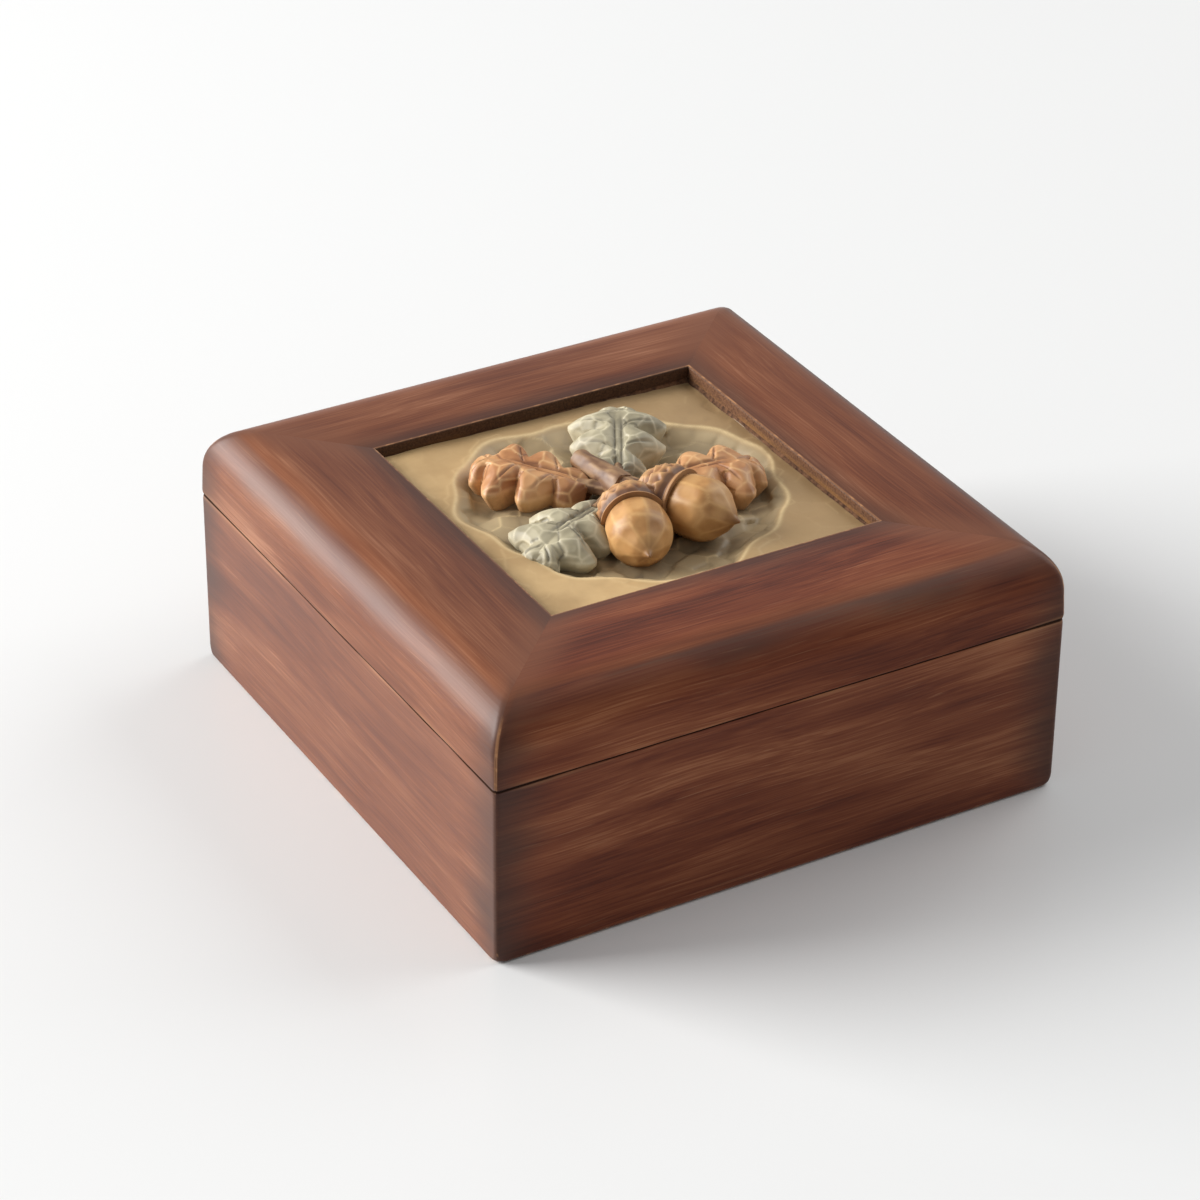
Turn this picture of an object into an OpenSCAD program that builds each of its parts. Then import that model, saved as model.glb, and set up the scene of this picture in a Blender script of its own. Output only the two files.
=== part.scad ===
// Keepsake box with a hinged frame lid and a carved panel.
// The base is four mitred walls round a grooved-in bottom. The lid is a mitred frame of rounded rails,
// rebated from below for a carved panel and the board that holds it. Two stop hinges join them at the back.
// The origin is the middle of the underside, with the front towards -Y and +Z up. Millimetres.

/* [Box] */
// Outside width and depth
box_side = 146; // [136:1:160]
// Height of the base up to the seam
base_height = 45; // [36:1:60]
// Thickness of the lid frame
lid_thick = 18.5; // [18:0.5:24]

/* [Base] */
// Thickness of the base walls
wall_thick = 9.5; // [9:0.5:11]
// Thickness of the bottom board
bottom_thick = 3; // [2.5:0.5:4]
// How far the bottom board sits in the wall grooves
groove_depth = 4; // [3:0.5:5]
// Thickness of the felt under the bottom board
under_felt = 2; // [1:0.5:3]
// Thickness of the felt lining on the floor and in the lid
lining_thick = 1.2; // [0.8:0.1:1.4]

/* [Lid frame] */
// Side of the square window that shows the carving
window_side = 84; // [78:1:88]
// Radius of the rounded top edge
edge_round = 11; // [8:0.5:12]
// Depth of the window's edge above the carved ground
lip_thick = 3; // [2.5:0.5:5]
// Width of the rebate that seats the carved panel
panel_rebate = 4; // [3:0.5:5]
// Width of the wider rebate that seats the backing board
backing_rebate = 10; // [9:0.5:12]
// Thickness of the backing board
backing_thick = 3; // [2.5:0.5:3.5]

/* [Carving] */
// Depth of the hollow scooped round the motif
hollow_depth = 2.4; // [2:0.1:3.5]
// Length of an oak leaf from its stalk to its tip
leaf_length = 30; // [26:0.5:31]
// Half width of an oak leaf at its widest
leaf_half_width = 12; // [10:0.5:12.5]
// Lobes on each side of a leaf, besides the one at its tip
leaf_lobes = 3; // [2:1:4]
// Greatest diameter of an acorn
acorn_d = 16; // [13:0.5:16]
// Length of an acorn with its cup
acorn_length = 26; // [21:0.5:27]

/* [Hinges] */
// Length of a hinge along the back
hinge_length = 25; // [20:1:30]
// Distance between the middles of the two hinges
hinge_spacing = 84; // [60:1:90]
// Diameter of the hinge knuckles
knuckle_d = 4; // [3.6:0.1:4.4]
// Diameter of the hinge pins
pin_d = 1.6; // [1.4:0.1:1.8]
// Thickness of the hinge leaves
leaf_plate = 1.2; // [1:0.1:1.4]
// Angle at which the hinge stops meet
stop_angle = 98; // [92:1:110]

/* [Hidden] */
$fn = 48;
half = box_side / 2;
lid_top = base_height + lid_thick;
rail_width = (box_side - window_side) / 2;
fit_gap = 0.2;                       // slack of a board in its groove or rebate
base_corner = 0.8;                   // rounding of the base's upright corners
lid_corner = 0.3;                    // rounding of the lid's upright corners
base_foot_ease = 1.2;                // rounding of the base's lower edge
rim_ease = 0.4;                      // rounding of both edges that meet at the seam
inner_side = box_side - 2 * wall_thick;
floor_z = under_felt + bottom_thick;

lining_recess = 1.3;                 // from the lid's lining up to the seam's level
lining_inset = 0.5;                  // the lid's lining stops this far inside the backing board
panel_side = window_side + 2 * panel_rebate - 2 * fit_gap;
panel_top = lid_top - lip_thick;
backing_top = base_height + backing_thick + lining_thick + lining_recess;
backing_bottom = backing_top - backing_thick;
backing_side = window_side + 2 * backing_rebate - 2 * fit_gap;
panel_thick = panel_top - backing_top;

pivot_y = half + knuckle_d / 2 + fit_gap;
pivot_z = base_height;
leaf_gap = 0.1;                      // each hinge leaf lies this far below its wooden face
knuckle_gap = 0.2;                   // play between neighbouring knuckles
leaf_reach = 11.7;                   // from the pivot to the leaf's inner edge
clear_of_pivot = knuckle_d / 2 + 0.3; // each leaf's plate stops here beside the other's knuckle
heel_in = knuckle_d / 2 + 0.25;      // the stop bars swing clear of the other leaf's knuckles
heel_out = knuckle_d / 2 + 1.7;
bore_wall = 0.5;                     // metal left round the bore inside a stop bar
pin_play = 0.05;                     // play of the lid's knuckle on the pin
heel_span = 46;                      // angle that a stop bar covers
hinge_screw_y = half - 5.5;
hinge_screw_x = 7.5;
screw_head_r = 1.8;
screw_shank_r = 0.95;
screw_length = 9;
screw_tip = 2;
screw_tip_r = 0.2;
screw_slot = 0.5;                    // width of the driver's slot in a screw head
screw_clear = 0.02;                  // play round a screw in its hole
backing_screw_at = half - rail_width + (panel_rebate + backing_rebate) / 2;
backing_screw_pitch = 56;

stain = [0.42, 0.25, 0.18];
ochre = [0.74, 0.64, 0.45];
felt = [0.16, 0.12, 0.10];
ply = [0.72, 0.58, 0.42];
brass = [0.78, 0.62, 0.32];

// Turns a profile drawn as (inward, up) into a bar along the front edge, length by length.
module along_front(length) {
    translate([-length / 2, -half, 0]) rotate([90, 0, 90]) linear_extrude(length) children();
}

// A square with true round corners.
module rounded_square(side, r) {
    square([side - 2 * r, side], center = true);
    square([side, side - 2 * r], center = true);
    for (x = [-1, 1], y = [-1, 1]) translate([x, y] * (side / 2 - r)) circle(r);
}

// What comes off a profile's corner at the origin to round it, the solid lying towards +X and +Y.
module corner_waste(r) {
    difference() {
        translate([-1, -1]) square(r + 1);
        translate([r, r]) circle(r);
    }
}

// The plan of one mitred side of a square frame.
module mitred_plan(width) {
    polygon([[-half, -half], [half, -half], [half - width, width - half], [width - half, width - half]]);
}

// Section of a base wall, with its groove for the bottom board.
module base_profile() {
    difference() {
        square([wall_thick, base_height]);
        translate([wall_thick - groove_depth, under_felt]) square([groove_depth + 1, bottom_thick]);
        corner_waste(base_foot_ease);
        translate([0, base_height]) mirror([0, 1]) corner_waste(rim_ease);
    }
}

// Section of a lid rail: round outer edge, lip over the panel, and two rebates from below.
module lid_profile() {
    difference() {
        translate([0, base_height]) square([rail_width, lid_thick]);
        translate([rail_width - panel_rebate, base_height - 1])
            square([panel_rebate + 1, panel_top - base_height + 1]);
        translate([rail_width - backing_rebate, base_height - 1])
            square([backing_rebate + 1, backing_top - base_height + 1]);
        translate([0, lid_top]) mirror([0, 1]) corner_waste(edge_round);
        translate([0, base_height]) corner_waste(rim_ease);
    }
}

// The rounded end of a base wall at its right: the wall's section turned about an upright line.
module turned_end() {
    translate([half - base_corner, base_corner - half, 0]) intersection() {
        rotate_extrude() intersection() {
            translate([base_corner, 0]) mirror([1, 0]) base_profile();
            square([base_corner, base_height]);
        }
        translate([0, -base_corner, 0]) cube([base_corner, base_corner, base_height]);
    }
}

// One mitred side of the base; side 0 is the front, and the count goes anticlockwise from above.
module base_wall(side) {
    color(stain) rotate(90 * side) intersection() {
        union() {
            along_front(box_side - 2 * base_corner) base_profile();
            turned_end();
            mirror([1, 0, 0]) turned_end();
        }
        linear_extrude(base_height) mitred_plan(wall_thick);
    }
}

module base_back_wall() {
    color(stain) difference() {
        base_wall(2);
        at_hinges() base_leaf_mortise();
        hinge_screw_places() base_screw(screw_clear);
    }
}

module lid_rail(side) {
    color(stain) difference() {
        rotate(90 * side) intersection() {
            along_front(box_side) lid_profile();
            translate([0, 0, base_height]) linear_extrude(lid_thick) intersection() {
                mitred_plan(rail_width);
                rounded_square(box_side, lid_corner);
            }
        }
        rotate(90 * side) backing_screw_pair(screw_clear);
    }
}

module lid_back_rail() {
    color(stain) difference() {
        lid_rail(2);
        at_hinges() lid_leaf_mortise();
        hinge_screw_places() lid_screw(screw_clear);
    }
}

module base_bottom() {
    side = inner_side + 2 * groove_depth - 2 * fit_gap;
    color(ply) translate([0, 0, floor_z - bottom_thick / 2]) cube([side, side, bottom_thick], center = true);
}

module base_lining() {
    color(felt) translate([0, 0, floor_z])
        linear_extrude(lining_thick) square(inner_side - 2 * fit_gap, center = true);
}

module base_felt() {
    color(felt) linear_extrude(under_felt) square(inner_side - 2 * fit_gap, center = true);
}

module lid_backing() {
    color(ply) difference() {
        translate([0, 0, backing_bottom]) linear_extrude(backing_thick) square(backing_side, center = true);
        for (side = [0:3]) rotate(90 * side) backing_screw_pair(screw_clear);
    }
}

module lid_lining() {
    color(felt) translate([0, 0, backing_bottom - lining_thick])
        linear_extrude(lining_thick) square(backing_side - 2 * lining_inset, center = true);
}

// A countersunk wood screw, head face at the origin and point towards +Z.
module wood_screw(clear) {
    head = screw_head_r - screw_shank_r;
    shank = screw_length - screw_tip;
    difference() {
        union() {
            cylinder(h = head, r1 = screw_head_r + clear, r2 = screw_shank_r + clear);
            cylinder(h = shank, r = screw_shank_r + clear);
            translate([0, 0, shank]) cylinder(h = screw_tip, r1 = screw_shank_r + clear, r2 = screw_tip_r);
        }
        if (clear == 0) translate([0, 0, 0.4 * screw_slot])
            cube([2 * screw_head_r + 1, screw_slot, screw_slot], center = true);
    }
}

module backing_screw_pair(clear) {
    for (x = [-1, 1])
        translate([x * backing_screw_pitch / 2, -backing_screw_at, backing_bottom]) wood_screw(clear);
}

module lid_backing_screws() {
    color(brass) for (side = [0:3]) rotate(90 * side) backing_screw_pair(0);
}

// Hinges. Their sections are drawn looking along the pivot, with +X to the rear and +Y up.
// They are then turned to run along the back.
module at_hinges() {
    for (x = [-1, 1]) at_hinge(x) children();
}

module at_hinge(x) {
    translate([x * hinge_spacing / 2, pivot_y, pivot_z]) rotate([90, 0, 90]) children();
}

module hinge_screw_places() {
    for (x = [-1, 1], dx = [-1, 1])
        translate([x * hinge_spacing / 2 + dx * hinge_screw_x, hinge_screw_y, pivot_z]) children();
}

module base_screw(clear) {
    translate([0, 0, -leaf_gap]) mirror([0, 0, 1]) wood_screw(clear);
}

module lid_screw(clear) {
    translate([0, 0, leaf_gap]) wood_screw(clear);
}

module base_leaf_mortise() {
    translate([-leaf_reach, -leaf_gap - leaf_plate, -hinge_length / 2])
        cube([leaf_reach, leaf_plate + 1, hinge_length]);
}

module lid_leaf_mortise() {
    mirror([0, 1, 0]) base_leaf_mortise();
}

// A length of the hinge: third 0 is the first knuckle, 1 the middle one and 2 the last.
function knuckle_start(third) =
    -hinge_length / 2 + third * hinge_length / 3 + (third == 0 ? 0 : knuckle_gap / 2);
function knuckle_end(third) =
    -hinge_length / 2 + (third + 1) * hinge_length / 3 - (third == 2 ? 0 : knuckle_gap / 2);

module hinge_slice(from, to) {
    translate([0, 0, from]) linear_extrude(to - from) children();
}

// A bar of the stop, between two radii, hung below the rear of the pivot.
module stop_bar(from, to, inner_r) {
    translate([0, 0, from]) rotate(-stop_angle / 2 - heel_span) rotate_extrude(angle = heel_span)
        translate([inner_r, 0]) square([heel_out - inner_r, to - from]);
}

// One leaf with its own knuckles and its stop bar, lying below the seam.
module leaf_below(thirds, bore_r) {
    difference() {
        union() {
            translate([-leaf_reach, -leaf_gap - leaf_plate, -hinge_length / 2])
                cube([leaf_reach - clear_of_pivot, leaf_plate, hinge_length]);
            for (third = thirds) {
                hinge_slice(knuckle_start(third), knuckle_end(third)) circle(knuckle_d / 2);
                hinge_slice(knuckle_start(third), knuckle_end(third))
                    translate([-leaf_reach, -leaf_gap - leaf_plate]) square([leaf_reach, leaf_plate]);
                stop_bar(knuckle_start(third), knuckle_end(third), bore_r + bore_wall);
            }
            stop_bar(-hinge_length / 2, hinge_length / 2, heel_in);
        }
        translate([0, 0, -hinge_length]) cylinder(h = 2 * hinge_length, r = bore_r);
        for (dx = [-1, 1]) translate([hinge_screw_y - pivot_y, 0, dx * hinge_screw_x]) rotate([-90, 0, 0])
            mirror([0, 0, 1]) translate([0, 0, leaf_gap]) wood_screw(screw_clear);
    }
}

module hinge_base_leaf(x) {
    color(brass) at_hinge(x) leaf_below([0, 2], pin_d / 2);
}

module hinge_lid_leaf(x) {
    color(brass) at_hinge(x) mirror([0, 1, 0]) leaf_below([1], pin_d / 2 + pin_play);
}

module hinge_pin(x) {
    color(brass) at_hinge(x) translate([0, 0, -hinge_length / 2]) cylinder(h = hinge_length, r = pin_d / 2);
}

module base_hinge_screws() {
    color(brass) hinge_screw_places() base_screw(0);
}

module lid_hinge_screws() {
    color(brass) hinge_screw_places() lid_screw(0);
}

// The carved panel: a dished ground with a spray of oak leaves over two acorns, all one piece of wood.
leaf_angles = [133, 61, -9, 208];    // the way each leaf points, from +X
leaf_heights = [1.5, 1.9, 1.7, 1.4]; // lift of each leaf where it leaves the spray
leaf_tips = [1.4, 2.4, 0.6, -0.3];   // rise of each leaf from there to its tip
leaf_arch = 2.6;                     // rise of a leaf's middle above its ends
leaf_crown = 1.2;                    // swell of each half of a blade above the midrib
leaf_droop = 3;                      // how far a blade turns down at its edge
leaf_taper = 1.35;                   // over 1 puts the widest part of a leaf past its middle
leaf_cleft = 0.58;                   // depth of the clefts between lobes, as a share of the half width
cleft_round = 0.02;                  // rounds the clefts' inner ends
leaf_sweep = 0.15;                   // lean of the lobes to the tip, as a share of the half width
leaf_first = 0.06;                   // shares of a leaf's length between which its blade runs
leaf_last = 0.995;
acorn_angles = [-108, -64];
acorn_heights = [3.4, 4.6];          // lift of each acorn's middle line
cup_share = 0.4;                     // share of an acorn's length that its cup takes
acorn_tip_r = 0.8;
spray = [-1.5, -0.5];                // where the stalks meet, from the panel's middle
leaf_start = 5.2;                    // from there to the foot of a leaf
acorn_start = 6.6;                   // and to the end of an acorn's cup
carve_root = 4;                      // how far the carved forms run down into the ground
twig_angle = 98;                     // the cut twig that carries the spray
twig_length = 15;
twig_r = 3.4;
twig_end_r = 2;
knot_height = 3.4;
stalk_r = 1.8;
leaf_stalk_end_r = 1.3;
acorn_stalk_end_r = 1.6;
hollow_reach = 38;                   // from the panel's middle to the hollow's edge
hollow_slope = 4.5;                  // width of the hollow's sloping side
brim_skim = 0.8;                     // the cut that makes the hollow starts this far above the panel's face
leaf_stations = 44;
leaf_columns = 3;
ground_rays = 64;

// Half width of a leaf at share t of its length: a tapering foot, then round lobes, the last one at the tip.
function leaf_half(t) =
    let (lobe = (sin(180 * (leaf_lobes + 0.5) * t) ^ 2 + cleft_round) / (1 + cleft_round))
    leaf_half_width * sqrt(sin(180 * pow(t, leaf_taper))) * (1 - leaf_cleft + leaf_cleft * pow(lobe, 0.45));

// A point of the leaf's upper face: share t along the midrib and share s of the half width beside it.
function leaf_point(t, s, lift, tip) =
    let (w = leaf_half(t), across = abs(s))
    [t * leaf_length + leaf_sweep * across * w,
     s * w,
     lift + tip * t + leaf_arch * sin(150 * t)
     + leaf_crown * sin(180 * across) - leaf_droop * pow(across, 2.5)];

// A leaf lying along +X, as a skin of its upper face closed down to a flat foot in the ground.
module oak_leaf(lift, tip) {
    columns = 2 * leaf_columns + 1;
    span = leaf_last - leaf_first;
    top = [for (i = [0:leaf_stations], j = [0:columns - 1])
        leaf_point(leaf_first + span * i / leaf_stations, j / leaf_columns - 1, lift, tip)];
    foot = [for (p = top) [p.x, p.y, -carve_root]];
    count = len(top);
    function at(i, j) = i * columns + j;
    skin = [for (i = [0:leaf_stations - 1], j = [0:columns - 2], half_quad = [0, 1])
        half_quad == 0
            ? [at(i, j), at(i + 1, j + 1), at(i + 1, j)]
            : [at(i, j), at(i, j + 1), at(i + 1, j + 1)]];
    under_skin = [for (f = skin) [f[0] + count, f[2] + count, f[1] + count]];
    rim = concat([for (i = [0:leaf_stations]) at(i, 0)],
                 [for (j = [1:columns - 1]) at(leaf_stations, j)],
                 [for (i = [leaf_stations - 1:-1:0]) at(i, columns - 1)],
                 [for (j = [columns - 2:-1:1]) at(0, j)]);
    wall = [for (k = [0:len(rim) - 1], half_quad = [0, 1])
        let (a = rim[k], b = rim[(k + 1) % len(rim)])
        half_quad == 0 ? [a, b, b + count] : [a, b + count, a + count]];
    polyhedron(concat(top, foot), concat(skin, under_skin, wall));
}

// A round disc or cone across +X, from one place to another.
module across_x(from, to, from_r, to_r) {
    translate([from, 0, 0]) rotate([0, 90, 0]) cylinder(h = to - from, r1 = from_r, r2 = to_r, $fn = 24);
}

// An acorn lying along +X, its cup's end at the origin: a nut with a pointed end in a deep cup.
module acorn() {
    r = acorn_d / 2;
    cup = cup_share * acorn_length;
    hull() {
        across_x(cup - 1, cup + 0.5, 0.88 * r, 0.88 * r);
        translate([0.62 * acorn_length, 0, 0]) sphere(0.86 * r, $fn = 24);
        translate([acorn_length - acorn_tip_r, 0, 0]) sphere(acorn_tip_r, $fn = 12);
    }
    hull() {
        across_x(0, 0.5, 0.42 * r, 0.42 * r);
        across_x(0.3 * cup, cup - 0.6, 0.74 * r, r);
        across_x(cup - 0.7, cup, 0.96 * r, 0.96 * r);
    }
}

// A stalk along +X between two distances from the spray's middle, thinning as it goes.
module stalk(from, to, from_r, to_r) {
    hull() {
        translate([from, 0, 0]) sphere(from_r, $fn = 10);
        translate([to, 0, 0]) sphere(to_r, $fn = 10);
    }
}

// How far the hollow's wavering hand-cut edge lies from the panel's middle, towards angle a.
function hollow_edge(a) = hollow_reach + 1.6 * sin(3 * a + 40) + 0.9 * sin(7 * a) + 0.7 * sin(13 * a + 70);

// The ground: a flat panel with a hollow sunk into it, whose sloping side runs down to a level floor.
module ground() {
    angles = [for (k = [0:ground_rays - 1]) 360 * k / ground_rays];
    floor_edge = [for (a = angles) [cos(a), sin(a)] * (hollow_edge(a) - hollow_slope)];
    flare = hollow_slope * brim_skim / hollow_depth;
    brim = [for (a = angles) [cos(a), sin(a)] * (hollow_edge(a) + flare)];
    points = concat([for (p = floor_edge) [p.x, p.y, -hollow_depth]], [for (p = brim) [p.x, p.y, brim_skim]]);
    floor_face = [for (k = [0:ground_rays - 1]) k];
    brim_face = [for (k = [ground_rays - 1:-1:0]) ground_rays + k];
    slopes = [for (k = [0:ground_rays - 1])
        let (next = (k + 1) % ground_rays) [k, next, next + ground_rays, k + ground_rays]];
    difference() {
        translate([0, 0, -panel_thick / 2]) cube([panel_side, panel_side, panel_thick], center = true);
        polyhedron(points, concat([floor_face, brim_face], slopes));
    }
}

module carved_panel() {
    color(ochre) translate([0, 0, panel_top]) union() {
        ground();
        translate([spray.x, spray.y, 0]) {
            rotate(twig_angle) translate([0, 0, knot_height]) stalk(0, twig_length, twig_r, twig_end_r);
            for (k = [0:len(leaf_angles) - 1]) rotate(leaf_angles[k]) {
                translate([leaf_start, 0, 0]) oak_leaf(leaf_heights[k], leaf_tips[k]);
                translate([0, 0, leaf_heights[k] + 0.3]) stalk(2, leaf_start + 4, stalk_r, leaf_stalk_end_r);
            }
            for (k = [0:len(acorn_angles) - 1]) rotate(acorn_angles[k]) translate([0, 0, acorn_heights[k]]) {
                translate([acorn_start, 0, 0]) acorn();
                stalk(2, acorn_start + 1, stalk_r, acorn_stalk_end_r);
            }
        }
    }
}

base_wall(0);  // base_front_wall
base_wall(1);  // base_right_wall
base_back_wall();
base_wall(3);  // base_left_wall
base_bottom();
base_lining();
base_felt();
lid_rail(0);  // lid_front_rail
lid_rail(1);  // lid_right_rail
lid_back_rail();
lid_rail(3);  // lid_left_rail
carved_panel();
lid_backing();
lid_backing_screws();
lid_lining();
hinge_base_leaf(-1);  // left_hinge_base_leaf
hinge_lid_leaf(-1);  // left_hinge_lid_leaf
hinge_pin(-1);  // left_hinge_pin
hinge_base_leaf(1);  // right_hinge_base_leaf
hinge_lid_leaf(1);  // right_hinge_lid_leaf
hinge_pin(1);  // right_hinge_pin
base_hinge_screws();
lid_hinge_screws();
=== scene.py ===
# %% [markdown]
# # A keepsake box with a carved lid
# The box is a square of brown-stained boards under a hinged lid. The lid is a rounded, mitred frame
# round a carved panel: a spray of oak leaves and acorns on an ochre ground.
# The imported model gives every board, hinge and screw at its real size and place. This lesson adds what
# makes it look real: eased edges, a hand-brushed stain, knife-cut carving, felt and brass.

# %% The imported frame
import math

import bmesh
import bpy
import numpy as np
from mathutils import Matrix, Vector


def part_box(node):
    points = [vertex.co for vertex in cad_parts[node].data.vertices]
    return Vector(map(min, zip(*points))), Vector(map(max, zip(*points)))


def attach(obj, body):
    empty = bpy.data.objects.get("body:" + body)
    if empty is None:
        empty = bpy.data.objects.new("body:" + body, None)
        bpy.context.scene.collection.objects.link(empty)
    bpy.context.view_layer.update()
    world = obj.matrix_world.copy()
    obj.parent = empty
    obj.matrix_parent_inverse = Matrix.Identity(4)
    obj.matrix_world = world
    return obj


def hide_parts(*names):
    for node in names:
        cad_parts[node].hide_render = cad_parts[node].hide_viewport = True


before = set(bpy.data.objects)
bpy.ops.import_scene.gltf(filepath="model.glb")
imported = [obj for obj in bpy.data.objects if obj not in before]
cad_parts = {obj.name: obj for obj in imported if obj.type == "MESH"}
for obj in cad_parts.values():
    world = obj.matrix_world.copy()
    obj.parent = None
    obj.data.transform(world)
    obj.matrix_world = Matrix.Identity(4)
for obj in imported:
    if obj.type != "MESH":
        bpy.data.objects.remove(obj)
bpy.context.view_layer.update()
bpy.ops.object.select_all(action="DESELECT")

MM = 0.001
half_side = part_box("lid_front_rail")[1].x
seam_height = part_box("base_front_wall")[1].z
lid_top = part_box("lid_front_rail")[1].z
panel_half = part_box("carved_panel")[1].x
panel_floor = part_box("carved_panel")[0].z
window_half = 42 * MM
panel_top = lid_top - 3 * MM
edge_round = 11 * MM
print("box half side", half_side, "seam", seam_height, "lid top", lid_top)

# %% [markdown]
# ## Working by hand, in code
# Every operator works on what is selected, so each step starts by choosing one object. These helpers
# enter and leave edit mode, pick edges by a test, and hand a finished piece to the frame.

# %% Helpers for modelling


def choose(piece):
    bpy.ops.object.select_all(action="DESELECT")
    piece.select_set(True)
    bpy.context.view_layer.objects.active = piece


def open_mesh(piece):
    choose(piece)
    bpy.ops.object.mode_set(mode="EDIT")
    bpy.ops.mesh.select_mode(type="EDGE")
    bpy.ops.mesh.select_all(action="DESELECT")


def close_mesh():
    bpy.ops.object.mode_set(mode="OBJECT")


def select_edges(piece, test):
    """In edit mode, selects the edges that pass the test."""
    mesh = bmesh.from_edit_mesh(piece.data)
    for edge in mesh.edges:
        edge.select_set(test(edge))
    mesh.select_flush_mode()
    bmesh.update_edit_mesh(piece.data)


def select_rim():
    """In edit mode, selects the open edges of a sheet."""
    bpy.ops.mesh.select_all(action="DESELECT")
    bpy.ops.mesh.select_non_manifold(extend=False, use_wire=False, use_boundary=True,
                                     use_multi_face=False, use_non_contiguous=False, use_verts=False)


def smooth(piece, degrees):
    choose(piece)
    bpy.ops.object.shade_smooth_by_angle(angle=math.radians(degrees))


def hand_over(piece, body, slot, material, *nodes):
    """Gives a finished piece its finish and its body, and hides the CAD nodes that it stands for."""
    piece.data.materials.clear()
    piece.data.materials.append(material)
    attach(piece, body)
    if nodes:
        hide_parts(*nodes)


def points_of(piece):
    flat = np.empty(len(piece.data.vertices) * 3)
    piece.data.vertices.foreach_get("co", flat)
    return flat.reshape(-1, 3)


def move_points(piece, points):
    piece.data.vertices.foreach_set("co", points.ravel())
    piece.data.update()


def normals_of(piece):
    flat = np.empty(len(piece.data.vertices) * 3)
    piece.data.vertex_normals.foreach_get("vector", flat)
    return flat.reshape(-1, 3)


def store(piece, name, values):
    """Keeps a number at every vertex, for the finish to read."""
    layer = piece.data.attributes.new(name, "FLOAT", "POINT")
    layer.data.foreach_set("value", np.asarray(values, dtype=np.float32))


# %% [markdown]
# ## Shader maths that reads like maths
# A finish is a node tree, but most of it is arithmetic. `Value` wraps one socket, so that `1 - mask`
# adds the Math node by itself. `Finish.node` makes any other node: its settings first, then its inputs.

# %% Values and finishes


def paint(red, green, blue):
    """A colour as seen on a screen, 0 to 255, as Blender's linear colour."""
    def linear(share):
        return share / 12.92 if share <= 0.04045 else ((share + 0.055) / 1.055) ** 2.4
    return (linear(red / 255), linear(green / 255), linear(blue / 255), 1.0)


class Value:
    """A number or colour that varies over a surface. Arithmetic on it adds Math nodes to its finish."""

    def __init__(self, finish, socket):
        self.finish = finish
        self.socket = socket

    def math(self, operation, *others):
        return self.finish.node("ShaderNodeMath", {"operation": operation}, [self, *others])

    def __add__(self, other):
        return self.math("ADD", other)

    __radd__ = __add__

    def __sub__(self, other):
        return self.math("SUBTRACT", other)

    def __rsub__(self, other):
        return self.finish.node("ShaderNodeMath", {"operation": "SUBTRACT"}, [other, self])

    def __mul__(self, other):
        return self.math("MULTIPLY", other)

    __rmul__ = __mul__

    def __abs__(self):
        return self.math("ABSOLUTE")

    def step(self, low, high):
        """0 at low, 1 at high and eased between, with low above high for a falling step."""
        return self.finish.node("ShaderNodeMapRange", {"interpolation_type": "SMOOTHSTEP"},
                                {"Value": self, "From Min": low, "From Max": high}, "Result")


class Finish:
    """A material in the making."""

    def __init__(self, name, **constants):
        self.material = bpy.data.materials.new(name)
        self.material.use_nodes = True
        self.tree = self.material.node_tree
        self.shader = self.tree.nodes["Principled BSDF"]
        for socket, value in constants.items():
            self.shader.inputs[socket.replace("_", " ")].default_value = value

    def feed(self, node, key, value):
        if isinstance(value, Value):
            self.tree.links.new(value.socket, node.inputs[key])
        else:
            node.inputs[key].default_value = value

    def node(self, kind, settings=None, inputs=(), output=0):
        made = self.tree.nodes.new(kind)
        for name, setting in (settings or {}).items():
            if name == "stops":
                ramp = made.color_ramp
                while len(ramp.elements) < len(setting):
                    ramp.elements.new(1.0)
                for element, (place, colour) in zip(ramp.elements, setting):
                    element.position = place
                    element.color = colour
            else:
                setattr(made, name, setting)
        for key, value in inputs.items() if isinstance(inputs, dict) else enumerate(inputs):
            self.feed(made, key, value)
        return Value(self, made.outputs[output])

    def place(self):
        """The object coordinates, as three values in metres."""
        where = self.node("ShaderNodeTexCoord", output="Object")
        return [self.node("ShaderNodeSeparateXYZ", None, [where], axis) for axis in "XYZ"]

    def attribute(self, name):
        return self.node("ShaderNodeAttribute", {"attribute_name": name}, (), "Fac")

    def noise(self, x, y, z, detail=2.0, rough=0.5):
        """Cloudy noise from 0 to 1, about one cloud to each unit of x, y and z."""
        where = self.node("ShaderNodeCombineXYZ", None, [x, y, z])
        return self.node("ShaderNodeTexNoise", None,
                         {"Vector": where, "Scale": 1.0, "Detail": detail, "Roughness": rough}, 0)

    def mix(self, share, first, second):
        """A colour between two, and the second one where share is 1."""
        return self.node("ShaderNodeMix", {"data_type": "RGBA"}, {0: share, 6: first, 7: second}, 2)

    def ramp(self, value, *stops):
        return self.node("ShaderNodeValToRGB", {"stops": stops}, [value])

    def bump(self, height, strength, distance):
        inputs = {"Strength": strength, "Distance": distance, "Height": height}
        return self.node("ShaderNodeBump", None, inputs)

    def done(self, **varying):
        for socket, value in varying.items():
            self.feed(self.shader, socket.replace("_", " "), value)
        return self.material
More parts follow.
